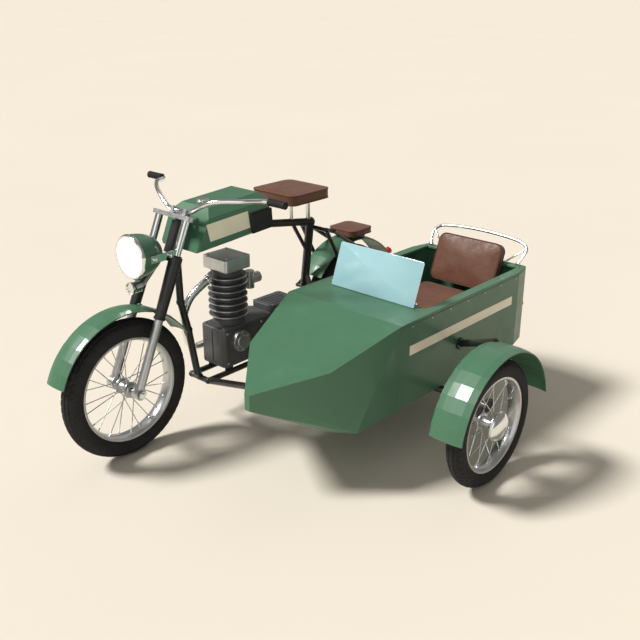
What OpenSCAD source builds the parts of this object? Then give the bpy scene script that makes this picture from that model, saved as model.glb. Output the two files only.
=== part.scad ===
// Motorcycle with a boat-nosed sidecar on its left side.
// +X points forward, +Y to the sidecar, +Z up; the origin is on the ground, under the middle of the box.
// Inside the modules, X = 0 is the front axle and Y = 0 is the motorcycle's centre plane.

/* [Wheels] */
// Outer radius of the motorcycle's tyres
tyre_r = 324; // [310:1:335]
// Width of the motorcycle's tyres
tyre_w = 92; // [80:1:100]
// Rim flange radius of the motorcycle's wheels
rim_r = 243; // [235:1:248]
// Outer radius of the sidecar tyre
side_tyre_r = 284; // [274:1:292]
// Width of the sidecar tyre
side_tyre_w = 84; // [76:1:90]
// Rim flange radius of the sidecar wheel
side_rim_r = 213; // [205:1:218]
// Length of each hub
hub_l = 80; // [70:1:90]
// Radius of the front and sidecar axles
axle_r = 9; // [7:0.5:12]
// Spokes in each wheel
spokes = 24; // [16:4:36]
// Radius of a spoke
spoke_r = 2.3; // [1.5:0.1:3]

/* [Layout] */
// Distance between the front and rear axles
wheelbase = 1510; // [1490:1:1600]
// Distance from the motorcycle's centre plane to the sidecar wheel's centre plane
track = 1341; // [1325:1:1420]
// Distance of the sidecar axle behind the front axle
side_axle_x = 868; // [820:1:900]

/* [Fork] */
// Rake of the steering axis from the vertical, degrees
rake = 24; // [22:0.5:27]
// Distance of each fork leg from the centre plane
leg_y = 92; // [88:1:100]
// Distance of the steering axis behind the fork legs
stem_back = 35; // [32:1:45]
// Length of the lower legs, measured up from the axle
slider_l = 352; // [330:1:370]
// Length of the covers above the lower legs
cover_l = 245; // [220:1:260]
// Length of the bare tubes between the two yokes
tube_l = 163; // [155:1:180]
// Radius of the bare fork tubes
fork_tube_r = 18; // [14:0.5:20]

/* [Handlebar] */
// Distance from the centre plane to the outer end of each grip
grip_end_y = 467; // [440:1:500]
// Length of each grip
grip_l = 100; // [90:1:120]
// Radius of the handlebar tube
bar_r = 11; // [9:0.5:13]

/* [Headlamp] */
// Radius of the lamp shell
lamp_r = 97; // [85:1:97]
// Height of the lamp's centre
lamp_z = 914; // [905:1:925]

/* [Tank and seats] */
// Width of the fuel tank
tank_w = 268; // [240:1:280]
// Height of the fuel tank
tank_h = 178; // [160:1:182]
// Length of the fuel tank along its base
tank_l = 449; // [420:1:460]
// Width of the rider's saddle
saddle_w = 300; // [260:1:320]
// Length of the rider's saddle
saddle_l = 285; // [260:1:300]
// Thickness of the rider's saddle
saddle_t = 58; // [45:1:70]
// Width of the pillion pad
pillion_w = 190; // [160:1:220]
// Length of the pillion pad
pillion_l = 180; // [160:1:200]

/* [Engine] */
// Width of the crankcase
crankcase_w = 172; // [150:1:176]
// Height of the crankcase
crankcase_h = 199; // [180:1:205]
// Radius of the cooling fins
fin_r = 96; // [88:1:100]
// Number of cooling fins
fins = 7; // [5:1:8]
// Thickness of a cooling fin
fin_t = 9; // [6:1:12]

/* [Frame] */
// Radius of the seat tube
seat_tube_r = 22; // [18:1:24]
// Radius of the backbone tube
backbone_r = 19; // [16:1:22]
// Radius of the cradle rails
rail_r = 14; // [12:1:16]
// Height of the cradle rails
rail_z = 225; // [215:1:240]

/* [Mudguards] */
// Gap between a motorcycle tyre and the edge of its mudguard
guard_gap = 44; // [36:1:48]
// Width of the front mudguard
front_guard_w = 124; // [110:1:130]
// Width of the rear mudguard
rear_guard_w = 146; // [120:1:148]
// Gap between the sidecar tyre and the edge of its mudguard
side_guard_gap = 52; // [44:1:60]
// Width of the sidecar mudguard
side_guard_w = 156; // [130:1:160]
// Sheet thickness of the mudguards
guard_t = 4; // [3:0.5:5]

/* [Sidecar body] */
// Distance from the motorcycle's centre plane to the middle of the sidecar body
body_y = 685; // [680:1:720]
// Width of the body
body_w = 646; // [620:1:660]
// Height of the body from its floor to its top
body_h = 386; // [360:1:400]
// Distance of the cowl crease behind the front axle
cowl_x = 680; // [640:1:700]
// Distance of the side walls' rear ends behind the front axle
side_end_x = 1626; // [1600:1:1650]
// Thickness of the body's walls
wall = 14; // [10:1:18]
// Width of the coaming round the cockpit
coaming_w = 50; // [40:1:56]
// Height of the windscreen along the glass
screen_h = 205; // [170:1:230]
// Width of the windscreen
screen_w = 474; // [420:1:480]

/* [Hidden] */
$fn = 48;

green = "#3f6f4f";
cream = "#d9ccab";
leather = "#8a5f4c";
black = "#2b2c2c";
silver = "#b9bdbf";
engine_grey = "#4a4b4c";

run_fit = 0.05;    // radial running clearance of a shaft in its bore
seat = 0.3;        // gap between two pieces that rest on each other
flange_t = 3;      // thickness of a rim flange
flange_h = 7;      // height of a rim flange above the bead seat

// Heights and lengths worked out along the fork, from the axle upwards
cover_s = slider_l;
lower_yoke_s = cover_s + cover_l;
yoke_t = 26;
tube_s = lower_yoke_s + yoke_t;
top_yoke_s = tube_s + tube_l;
top_yoke_t = 20;

// Mudguard edge radii and the angles at which they start and end
guard_r = tyre_r + guard_gap;
side_guard_r = side_tyre_r + side_guard_gap;
crown = 9;
front_guard_a = [20, 150];
rear_guard_a = [37, 155];
side_guard_a = [9, 171];

// Frame points on the centre plane, [x, z]
neck_s = 655;
neck_x = -62;
seat_top = [-1212, 842];
seat_foot = [-wheelbase + tyre_r + 58, rail_z];
cradle_front_x = -425;
cradle_y = 60;
rear_stay_y = 97;

// Sidecar chassis
chassis_z = side_tyre_r;
chassis_r = 18;
chassis_in_y = body_y - 205;
chassis_out_y = body_y + 205;
cross_x = [-430, -1000, -1600];
arm_y = track - 101;

// Sidecar body
body_z = chassis_z + chassis_r + seat;
body_top = body_z + body_h;
half_w = body_w / 2;
nose_x = 98;
nose_mid_x = 340;
nose_low_x = 401;
rear_x = side_end_x + 110;
rear_half_w = half_w - 26;
open_front_x = cowl_x + 240;
open_rear_x = rear_x - 40;

// Engine
engine_x = -625;
crankcase_x = [-512, -850];
crankcase_z = rail_z + rail_r + 23;
crankcase_top = crankcase_z + crankcase_h;
gearbox_x = [-850.3, -1045];
gearbox_w = 150;
barrel_r = 76;
head_z = 738;
head_size = [160, 172, 64];

// Tank
tank_tilt = 3.5;
tank_x = -347;
tank_z = 893;

// Seats
saddle_x = -930;
saddle_z = 992;
pillion_x = -1450;
pillion_z = 713;
pillion_t = 40;

// Lamps at the back
tail_x = -1893;
tail_z = 533;
tail_r = 22;
tail_root_x = -1800;
tail_drop = 32;

// The middle of the whole machine's box, which becomes the origin
front_end = (guard_r + crown) * cos(front_guard_a[0]);
rear_end = tail_x - tail_r * tail_drop / norm([tail_x - tail_root_x, tail_drop]);
left_end = track + 4 + side_guard_w / 2;
origin = [-(front_end + rear_end) / 2, -(left_end - grip_end_y) / 2, 0];

// ---------- helpers ----------
module place() { translate(origin) children(); }

// A round bar from point a to point b
module bar(a, b, r) {
    v = b - a;
    translate(a) rotate([0, acos(v[2] / norm(v)), atan2(v[1], v[0])]) cylinder(h = norm(v), r = r);
}

// Round bars through a list of points, with a rounded lug at each bend
lug = 1.18;
module bent(points, r) {
    for (i = [1 : len(points) - 1]) bar(points[i - 1], points[i], r);
    if (len(points) > 2) for (i = [1 : len(points) - 2]) translate(points[i]) sphere(r = r * lug);
}

// Points of a smooth curve through p, with k steps between each two
function smooth(p, k) = [
    for (i = [0 : len(p) - 2]) let (a = p[max(i - 1, 0)], b = p[i], c = p[i + 1], d = p[min(i + 2, len(p) - 1)])
        for (j = [0 : k - 1]) let (t = j / k)
            0.5 * (2 * b + (c - a) * t + (2 * a - 5 * b + 4 * c - d) * t * t
                + (3 * b - a - 3 * c + d) * t * t * t),
    p[len(p) - 1]];

function unit(v) = v / norm(v);

// One smooth round tube along points; ref is never parallel to the tube
module swept(points, r, ref, sides = 16) {
    n = len(points);
    rings = [for (i = [0 : n - 1])
        let (t = unit(points[min(i + 1, n - 1)] - points[max(i - 1, 0)]),
             u = unit(cross(ref, t)), w = cross(t, u))
        for (k = [0 : sides - 1])
            points[i] + r * (cos(k * 360 / sides) * u + sin(k * 360 / sides) * w)];
    walls = [for (i = [0 : n - 2], k = [0 : sides - 1]) let (k2 = (k + 1) % sides)
        [i * sides + k, (i + 1) * sides + k, (i + 1) * sides + k2, i * sides + k2]];
    polyhedron(rings, concat(walls,
        [[for (k = [0 : sides - 1]) k]], [[for (k = [sides - 1 : -1 : 0]) (n - 1) * sides + k]]));
}

// The same bent bar on the left and on the right of the centre plane
module both(points, r) {
    for (side = [-1, 1]) bent([for (p = points) [p[0], side * p[1], p[2]]], r);
}

// A rounded rectangle of size x by y about the origin
module round_rect(x, y, r) {
    square([x - 2 * r, y], center = true);
    square([x, y - 2 * r], center = true);
    for (i = [-1, 1], j = [-1, 1]) translate([i * (x / 2 - r), j * (y / 2 - r)]) circle(r);
}

// Turns a shape made about Z so that its axis lies along Y, and sets it at x, y, z
module along_y(x, y, z) { translate([x, y, z]) rotate([90, 0, 0]) children(); }

// Fork frame: Z along the legs from the front axle, X forward and square to them
module on_fork() { translate([0, 0, tyre_r]) rotate([0, -rake, 0]) children(); }

// A point of the fork frame given in the motorcycle's frame
function fork_point(x, y, s) =
    [x * cos(rake) - s * sin(rake), y, tyre_r + s * cos(rake) + x * sin(rake)];

// ---------- wheels ----------
module tyre(r, w, flange_r, rim_w) {
    bead = rim_w / 2 - flange_t - seat;
    bead_r = flange_r - flange_h + seat;
    rotate_extrude() difference() {
        union() {
            intersection() {
                translate([r - w / 2, 0]) circle(w / 2);
                translate([flange_r + 3, -w]) square([r, 2 * w]);
            }
            polygon([[bead_r, -bead], [flange_r + 3, -bead], [r - w / 2, -w / 2 + 0.5],
                     [r - w / 2, w / 2 - 0.5], [flange_r + 3, bead], [bead_r, bead]]);
        }
        translate([0, -w]) square([bead_r, 2 * w]);
    }
}

module rim(flange_r, rim_w) {
    h = rim_w / 2;
    base = flange_r - flange_h;
    rotate_extrude() polygon([
        [flange_r, h], [flange_r, h - flange_t], [base, h - flange_t],
        [base, flange_t - h], [flange_r, flange_t - h], [flange_r, -h],
        [base - 4, -h], [base - 12, 14 - h], [base - 12, h - 14], [base - 4, h]]);
}

// Hub, spokes and rim, with the axle's bore through the hub
module wheel(flange_r, rim_w, bore_r, bore_l) {
    flange_y = hub_l / 2 - 9;
    difference() {
        union() {
            rim(flange_r, rim_w);
            cylinder(h = hub_l, r = 24, center = true);
            for (side = [-1, 1]) translate([0, 0, side * flange_y]) cylinder(h = 6, r = 37, center = true);
            for (i = [0 : spokes - 1]) {
                side = i % 2 == 0 ? 1 : -1;
                lean = i % 4 < 2 ? 34 : -34;
                a = i * 360 / spokes;
                bar([31 * cos(a + lean), 31 * sin(a + lean), side * flange_y],
                    [(flange_r - 16) * cos(a), (flange_r - 16) * sin(a), side * 7], spoke_r);
            }
        }
        translate([0, 0, -hub_l / 2 - 1]) cylinder(h = bore_l + 1, r = bore_r + run_fit);
    }
}

rim_w = 72;
side_rim_w = 64;
rear_axle_r = axle_r + 1;

module front_tyre() place() color(black) along_y(0, 0, tyre_r) tyre(tyre_r, tyre_w, rim_r, rim_w);

module rear_tyre() place() color(black)
    along_y(-wheelbase, 0, tyre_r) tyre(tyre_r, tyre_w, rim_r, rim_w);

module sidecar_tyre() place() color(black)
    along_y(-side_axle_x, track, side_tyre_r) tyre(side_tyre_r, side_tyre_w, side_rim_r, side_rim_w);

module front_wheel() place() color(silver)
    along_y(0, 0, tyre_r) wheel(rim_r, rim_w, axle_r, hub_l + 1);

module rear_wheel() place() color(silver)
    along_y(-wheelbase, 0, tyre_r) wheel(rim_r, rim_w, rear_axle_r, hub_l + 1);

// The sidecar wheel carries a domed cap on its outer side
module sidecar_wheel() place() color(silver) {
    cap_r = 66;
    dome_h = 30;
    dome_r = (cap_r * cap_r + dome_h * dome_h) / (2 * dome_h);
    translate([-side_axle_x, track, side_tyre_r]) rotate([-90, 0, 0]) {
        wheel(side_rim_r, side_rim_w, axle_r, hub_l - 4);
        translate([0, 0, hub_l / 2 - 0.5]) cylinder(h = 6.5, r = cap_r);
        intersection() {
            translate([0, 0, hub_l / 2 + 6 + dome_h - dome_r]) sphere(r = dome_r, $fn = 72);
            translate([0, 0, hub_l / 2 + 5.9]) cylinder(h = dome_h + 1, r = cap_r);
        }
    }
}

// ---------- fork ----------
module front_axle() place() color(silver)
    along_y(0, leg_y + 28, tyre_r) cylinder(h = 2 * leg_y + 56, r = axle_r);

module fork_sliders() place() color(silver) for (side = [-1, 1]) difference() {
    union() {
        on_fork() translate([0, side * leg_y, 0]) cylinder(h = slider_l, r = 20);
        along_y(0, side * leg_y + 20, tyre_r) cylinder(h = 40, r = 26);
    }
    along_y(0, side * leg_y + 21, tyre_r) cylinder(h = 42, r = axle_r + run_fit);
}

module fork_covers() place() color(black) on_fork()
    for (side = [-1, 1]) translate([0, side * leg_y, cover_s]) cylinder(h = cover_l, r1 = 24, r2 = 30);

module fork_tubes() place() color(silver) on_fork()
    for (side = [-1, 1]) translate([0, side * leg_y, tube_s]) cylinder(h = tube_l, r = fork_tube_r);

module yoke_plate(reach, depth, front, t) linear_extrude(t) {
    translate([-depth / 2, -reach]) square([depth / 2 + front, 2 * reach]);
    for (side = [-1, 1]) translate([0, side * reach]) circle(depth / 2);
    translate([-stem_back, 0]) circle(24);
    translate([-stem_back / 2, 0]) square([stem_back, 48], center = true);
}

module steering_stem() place() color(black) on_fork() {
    translate([0, 0, lower_yoke_s]) yoke_plate(leg_y, 60, 5, yoke_t);
    translate([-stem_back, 0, lower_yoke_s]) cylinder(h = top_yoke_s - lower_yoke_s, r = 14);
}

// The upper yoke, with the two clamps that hold the handlebar
module top_yoke() place() color(silver) on_fork() {
    translate([0, 0, top_yoke_s]) yoke_plate(leg_y + 10, 50, 25, top_yoke_t);
    for (side = [-1, 1]) translate([-stem_back, side * 42, top_yoke_s + top_yoke_t])
        rotate([90, 0, 0]) difference() {
            translate([-16, 0, -9]) cube([32, bar_lift + 13, 18]);
            translate([0, bar_lift, -10]) cylinder(h = 20, r = bar_r + run_fit);
        }
}

// Handlebar points on the left side, from the middle outwards
bar_lift = 17;
bar_mid = fork_point(-stem_back, 0, top_yoke_s + top_yoke_t + bar_lift);
bar_end = [-560, grip_end_y - grip_l - 9, 1128];
bar_points = [
    [bar_mid[0], 57, bar_mid[2]], [bar_mid[0] + 4, 98, bar_mid[2] + 20], [-392, 190, 1128],
    [-470, 292, 1134], [-536, 332, 1130], bar_end];

module handlebar() place() color(silver) {
    left = concat(smooth(bar_points, 4), [bar_end + [0, 8, 0], [bar_end[0], grip_end_y - 6, bar_end[2]]]);
    swept([for (i = [len(left) - 1 : -1 : 0]) [left[i][0], -left[i][1], left[i][2]], each left],
          bar_r, [0, 0, 1]);
}

module grips() place() color(black) for (side = [-1, 1])
    along_y(bar_end[0], side * (grip_end_y - grip_l / 2) + grip_l / 2, bar_end[2]) difference() {
        cylinder(h = grip_l, r = bar_r + 6);
        translate([0, 0, side > 0 ? 5 : -1]) cylinder(h = grip_l - 4, r = bar_r + run_fit);
    }

lamp_front_x = -88;

// Turns a profile given as [radius, distance back] into a round shape about the lamp's axis
module lamp_turn(points) translate([lamp_front_x, 0, lamp_z]) rotate([0, -90, 0])
    rotate_extrude($fn = 72) polygon(points);

module headlamp_shell() place() color(green) lamp_turn([
    [0, 0], [lamp_r - 1, 0], [lamp_r, 30], [lamp_r - 6, 62], [lamp_r - 22, 96],
    [lamp_r - 46, 122], [lamp_r - 72, 138], [0, 143]]);

module headlamp_rim() place() color(silver) lamp_turn([
    [lamp_r - 14, -seat], [lamp_r + 3, -seat], [lamp_r + 4, -8], [lamp_r, -15], [lamp_r - 10, -16],
    [lamp_r - 14, -12]]);

module headlamp_lens() place() color("#fff6dc") {
    lens_r = lamp_r - 14 - seat;
    lamp_turn([
        [0, -seat], [lens_r, -seat], [lens_r, -10], [lens_r * 0.85, -17],
        [lens_r * 0.6, -23], [lens_r * 0.3, -26], [0, -27]]);
}

// Side brackets that hold the lamp between the fork tubes
module headlamp_ears() place() color(silver) for (side = [-1, 1]) {
    ear_y = lamp_r + seat;
    difference() {
        translate([-262, side > 0 ? ear_y : -ear_y - 5, lamp_z - 17]) cube([150, 5, 34]);
        on_fork() translate([0, side * leg_y, 0]) cylinder(h = 900, r = fork_tube_r + seat);
        on_fork() translate([0, side * leg_y, 0]) cylinder(h = lower_yoke_s + yoke_t + seat, r = 60);
    }
    for (x = [-136, -215]) along_y(x, side * (ear_y + 5) + (side > 0 ? 10 : 0), lamp_z)
        cylinder(h = 10, r = 9);
}

horn_x = -62;
horn_z = 775;
module horn() place() color(silver) {
    translate([horn_x, 0, horn_z]) rotate([0, -90, 0]) rotate_extrude() polygon([
        [0, 6], [20, 6], [24, 0], [29, 0], [29, 10], [25, 24], [25, 56], [0, 58]]);
    bent([[horn_x - 52, 0, horn_z], [horn_x - 84, 0, horn_z + 6], fork_point(4, 0, lower_yoke_s - 6)], 7);
    on_fork() translate([4, 0, lower_yoke_s - 10]) cylinder(h = 10 - seat, r = 13);
}

// A mudguard shell: a crowned band about Y, from angle a[0] to a[1]
module guard_band(edge_r, w, a) {
    h = w / 2;
    rotate([90, 0, 0]) rotate([0, 0, a[0]]) rotate_extrude(angle = a[1] - a[0], $fn = 96) polygon([
        [edge_r, -h], [edge_r + crown * 0.7, -h * 0.55], [edge_r + crown, 0],
        [edge_r + crown * 0.7, h * 0.55], [edge_r, h], [edge_r - guard_t, h],
        [edge_r - guard_t + crown * 0.7, h * 0.55], [edge_r - guard_t + crown, 0],
        [edge_r - guard_t + crown * 0.7, -h * 0.55], [edge_r - guard_t, -h]]);
}

// The front mudguard, with a boss on each side that bolts to the fork leg
module front_mudguard() place() color(green) {
    translate([0, 0, tyre_r]) guard_band(guard_r, front_guard_w, front_guard_a);
    boss_y = front_guard_w / 2 - 10;
    for (side = [-1, 1]) difference() {
        on_fork() translate([0, side * boss_y, guard_r]) rotate([side * -90, 0, 0])
            cylinder(h = leg_y - boss_y, r = 9);
        on_fork() translate([0, side * leg_y, cover_s])
            cylinder(h = cover_l, r1 = 24 + seat, r2 = 30 + seat);
        on_fork() translate([0, side * leg_y, 0]) cylinder(h = cover_s, r = 24 + seat);
    }
}

// ---------- frame ----------
function flat(p) = [p[0], 0, p[1]];

// X of the seat tube's centre line at height z
function seat_tube_at(z) = seat_foot[0]
    + (seat_top[0] - seat_foot[0]) * (z - seat_foot[1]) / (seat_top[1] - seat_foot[1]);

module frame() place() color(black) {
    head_s = [tube_s + 9, top_yoke_s - 8];
    back = fork_point(-stem_back, 0, 745);
    neck = fork_point(neck_x, 0, neck_s);
    difference() {
        union() {
            on_fork() translate([-stem_back, 0, head_s[0]]) cylinder(h = head_s[1] - head_s[0], r = 27);
            bar(back, flat(seat_top), backbone_r);
            bent([neck, [-331, 0, 838], [-334, 0, 640], [-370, 0, 490], [-408, 0, 262],
                  [cradle_front_x, 0, rail_z]], 17);
            bar(flat(seat_foot), flat(seat_top), seat_tube_r);
            translate(flat(seat_top)) sphere(r = seat_tube_r * lug);
            bar([-1084, 0, 852], [-1186, 0, 690], 10);
            for (side = [-1, 1]) {
                bar([cradle_front_x, side * cradle_y, rail_z], [seat_foot[0], side * cradle_y, rail_z], rail_r);
                for (x = [cradle_front_x, seat_foot[0]])
                    translate([x, side * cradle_y, rail_z]) sphere(r = rail_r * lug);
                for (x = [-560, -800, -950])
                    translate([x - 20, side * cradle_y - 8, rail_z])
                        cube([40, 16, (x < gearbox_x[0] ? gearbox_z : crankcase_z) - seat - rail_z]);
            }
            for (x = [cradle_front_x, seat_foot[0]])
                bar([x, -cradle_y, rail_z], [x, cradle_y, rail_z], rail_r);
        }
        on_fork() translate([-stem_back, 0, lower_yoke_s]) cylinder(h = 300, r = 14 + run_fit);
    }
}

gearbox_z = rail_z + rail_r + 44;

// Stays behind the seat tube; they meet it with a cross tube at the top and at the foot
module rear_stays() place() color(black) difference() {
    rear_stay_tubes();
    along_y(-wheelbase, 140, tyre_r) cylinder(h = 280, r = rear_axle_r + run_fit);
}

module rear_stay_tubes() {
    axle_p = [-wheelbase, rear_stay_y, tyre_r];
    top_x = seat_tube_at(806) - seat_tube_r - 11 - 0.8;
    foot_x = seat_foot[0] - seat_tube_r - 13 - 1;
    bar([top_x, -88, 806], [top_x, 88, 806], 11);
    bar([foot_x, -72, rail_z], [foot_x, 72, rail_z], 13);
    both([[top_x, 88, 806], axle_p], 10.5);
    both([[top_x, 88, 806], [-wheelbase + 210, 88, 790],
        [-wheelbase + 36, rear_guard_w / 2 + 11.4, 674]], 11);
    both([[foot_x, 72, rail_z], [-wheelbase + 250, 84, 262], axle_p], 12);
    brace_x = seat_tube_at(480) - seat_tube_r - 9 - 0.8;
    bar([brace_x, -78, 480], [brace_x, 78, 480], 9);
    both([[brace_x, 78, 480], [-wheelbase + 138, 91.5, 560]], 9);
    for (side = [-1, 1]) {
        translate([top_x, side * 88, 806]) sphere(r = 13);
        translate([foot_x, side * 72, rail_z]) sphere(r = 15.5);
        translate([brace_x, side * 78, 480]) sphere(r = 11);
        along_y(-wheelbase, side * rear_stay_y + 12, tyre_r) cylinder(h = 24, r = 25);
    }
}

// ---------- engine ----------
module chamfered(x, y, z, c) {
    linear_extrude(z) polygon([
        [c, 0], [x - c, 0], [x, c], [x, y - c], [x - c, y], [c, y], [0, y - c], [0, c]]);
}

module crankcase() place() color(engine_grey)
    translate([crankcase_x[1], -crankcase_w / 2, crankcase_z])
        chamfered(crankcase_x[0] - crankcase_x[1], crankcase_w, crankcase_h, 16);

module gearbox() place() color(engine_grey)
    translate([gearbox_x[1], -gearbox_w / 2, gearbox_z])
        chamfered(gearbox_x[0] - gearbox_x[1], gearbox_w, 489 - gearbox_z, 10);

// Barrel with round cooling fins, spaced evenly below the head
module cylinder_barrel() place() color(engine_grey) translate([engine_x, 0, 0]) {
    translate([0, 0, crankcase_top]) cylinder(h = head_z - crankcase_top, r = barrel_r);
    first = crankcase_top + 42;
    pitch = (head_z - first - fin_t) / fins;
    for (i = [0 : fins - 1]) translate([0, 0, first + i * pitch]) cylinder(h = fin_t, r = fin_r);
}

module cylinder_head() place() color(silver)
    translate([engine_x - head_size[0] / 2, -head_size[1] / 2, head_z])
        chamfered(head_size[0], head_size[1], head_size[2], 8);

module timing_cover() place() color(silver) along_y(-606, crankcase_w / 2 + 30, 390) {
    cylinder(h = 30, r = 52);
    translate([0, 0, -4]) cylinder(h = 4.1, r = 30);
}

// Carburettor on a stub behind the barrel
module carburettor() place() color(silver) difference() {
    union() {
        bar([engine_x - 60, 0, 640], [engine_x - 150, 0, 640], 16);
        translate([engine_x - 145, 0, 596]) cylinder(h = 88, r = 24);
        bar([engine_x - 140, 0, 640], [engine_x - 205, 0, 640], 27);
    }
    translate([engine_x, 0, 400]) cylinder(h = 400, r = fin_r + seat);
}

pipe_r = 19;
pipe_points = [
    [engine_x + fin_r + seat, -18, 692], [-500, -26, 680], [-430, -42, 626], [-392, -48, 560],
    [-386, -50, 500], [-408, -62, 430], [-444, -96, 372], [-500, -124, 326], [-590, -140, 314], [-700, -142, 314]];

module exhaust_pipe() place() color(silver) swept(smooth(pipe_points, 4), pipe_r, [0, 1, 0]);

// Silencer: a long round body with coned ends and an open tail pipe
module silencer() place() color(silver)
    translate([-701.2, -142, 314]) rotate([0, -92, 0]) difference() {
        rotate_extrude() polygon([
            [0, 0], [pipe_r + 1, 0], [40, 60], [40, 560], [22, 620], [22, 700], [0, 700]]);
        translate([0, 0, 560]) cylinder(h = 160, r = 17);
    }

// Closed chain case on the right side of the rear wheel
module chain_case() place() color(green) {
    front_r = 58;
    front = [gearbox_x[1] - 1 - front_r, 318];
    rear = [-wheelbase, tyre_r];
    rear_r = 88;
    translate([0, -57, 0]) rotate([90, 0, 0]) linear_extrude(12) difference() {
        union() {
            translate(front) circle(front_r);
            translate(rear) circle(rear_r);
            polygon([front + [0, front_r], rear + [0, rear_r], rear - [0, rear_r], front - [0, front_r]]);
        }
        translate(rear) circle(rear_axle_r + run_fit);
        translate(front) circle(18);
    }
}

// Foot pegs on one bar that lies on the cradle rails
module footrests() place() color(black) {
    peg_z = rail_z + rail_r + 9 + seat;
    bar([-905, -215, peg_z], [-905, 215, peg_z], 9);
    for (side = [-1, 1]) bar([-905, side * 120, peg_z], [-905, side * 218, peg_z], 16);
}

// Rear axle, held in the lugs of the rear stays
module rear_axle() place() color(silver) {
    along_y(-wheelbase, rear_stay_y + 24, tyre_r) cylinder(h = 2 * rear_stay_y + 48, r = rear_axle_r);
}

// ---------- tank and seats ----------
// Tank frame: X back along the tank's base, Z square to it
module on_tank() { translate([tank_x, 0, tank_z]) rotate([0, tank_tilt, 0]) mirror([1, 0, 0]) children(); }

front_lean = rake + tank_tilt;

module tank_side() polygon([
    [0, 0], [tank_h * tan(front_lean) * 0.78, tank_h * 0.78],
    [tank_h * tan(front_lean) + 22, tank_h], [tank_l - 30, tank_h], [tank_l, tank_h - 30],
    [tank_l, 40], [tank_l - 90, 0]]);

module tank_section() {
    w = tank_w / 2;
    polygon([[-w, 14], [-w + 14, 0], [w - 14, 0], [w, 14], [w, tank_h - 38], [w - 44, tank_h],
             [44 - w, tank_h], [-w, tank_h - 38]]);
}

// The tank, with a tunnel under it for the backbone
module fuel_tank() place() color(green) difference() {
    on_tank() intersection() {
        translate([0, tank_w / 2 + 1, 0]) rotate([90, 0, 0]) linear_extrude(tank_w + 2) tank_side();
        rotate([90, 0, 90]) linear_extrude(tank_l + 80) tank_section();
    }
    tunnel = backbone_r + seat;
    back = fork_point(-stem_back, 0, 745);
    run = flat(seat_top) - back;
    translate(back) rotate([0, acos(run[2] / norm(run)), 180])
        translate([-tunnel, -tunnel, -60]) cube([200, 2 * tunnel, norm(run)]);
}

module fuel_cap() place() color(silver) on_tank() translate([tank_l * 0.36, 0, tank_h]) {
    cylinder(h = 9, r = 32);
    cylinder(h = 16, r = 25);
}

// Cream panels on both sides of the tank, and the long stripe on the sidecar's outer side
module cream_panels() place() color(cream) {
    on_tank() for (side = [-1, 1])
        translate([72, side > 0 ? tank_w / 2 : -tank_w / 2 - 2, 38]) rotate([90, 0, 0])
            translate([0, 0, -2]) linear_extrude(2) polygon([[0, 0], [244, 0], [236, 82], [-14, 82]]);
    stripe_z = [body_top - 152, body_top - 108];
    for (side = [-1, 1]) translate([0, body_y + side * (half_w + 1), 0]) rotate([90, 0, 0])
        translate([0, 0, -1]) linear_extrude(2) polygon([
            [-742, stripe_z[0]], [-742, stripe_z[1]], [-1572, stripe_z[1]], [-1572, stripe_z[0]]]);
}

module knee_pads() place() color(black) on_tank() for (side = [-1, 1])
    translate([tank_l - 130, side > 0 ? tank_w / 2 : -tank_w / 2 - 16, 8])
        cube([132, 16, 96]);

module saddle() place() color(leather)
    translate([saddle_x - saddle_l / 2, 0, saddle_z]) linear_extrude(saddle_t) round_rect(saddle_l, saddle_w, 40);

// Front and rear posts between the frame and the saddle
module saddle_posts() place() color(silver) {
    top = saddle_z - seat;
    rear_x = -1196;
    difference() {
        union() {
            translate([rear_x, 0, seat_top[1] + 18]) cylinder(h = top - seat_top[1] - 18, r = 13);
            translate([-1072, 0, 868]) cylinder(h = top - 868, r = 10);
            for (x = [rear_x, -1072]) translate([x, 0, top - 5]) cylinder(h = 5, r = 26);
        }
        bar(fork_point(-stem_back, 0, 745), flat(seat_top), backbone_r + seat);
        translate(flat(seat_top)) sphere(r = seat_tube_r * lug + seat);
    }
}

module pillion_pad() place() color(leather)
    translate([pillion_x - pillion_l / 2, 0, pillion_z]) linear_extrude(pillion_t)
        round_rect(pillion_l, pillion_w, 34);

// Black carrier between the rear mudguard and the pillion pad
module pillion_bracket() place() color(black) difference() {
    translate([pillion_x - pillion_l / 2, 0, 660]) linear_extrude(pillion_z - seat - 660)
        round_rect(pillion_l - 50, 120, 20);
    along_y(-wheelbase, 100, tyre_r) cylinder(h = 200, r = guard_r + crown + seat, $fn = 144);
}

module rear_mudguard() place() color(green)
    translate([-wheelbase, 0, tyre_r]) guard_band(guard_r, rear_guard_w, rear_guard_a);

// Tail lamp on the rear mudguard, and a lamp on the back of the sidecar
module tail_lamps() place() color("#b3302b") {
    difference() {
        bar([tail_x, 0, tail_z], [tail_root_x, 0, tail_z - tail_drop], tail_r);
        along_y(-wheelbase, 100, tyre_r) cylinder(h = 200, r = guard_r + crown + seat, $fn = 144);
    }
    translate([-rear_x - 22, body_y + rear_half_w - 30, body_z + 180]) rotate([0, 90, 0])
        cylinder(h = 22 - seat, r = 22);
}

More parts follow.
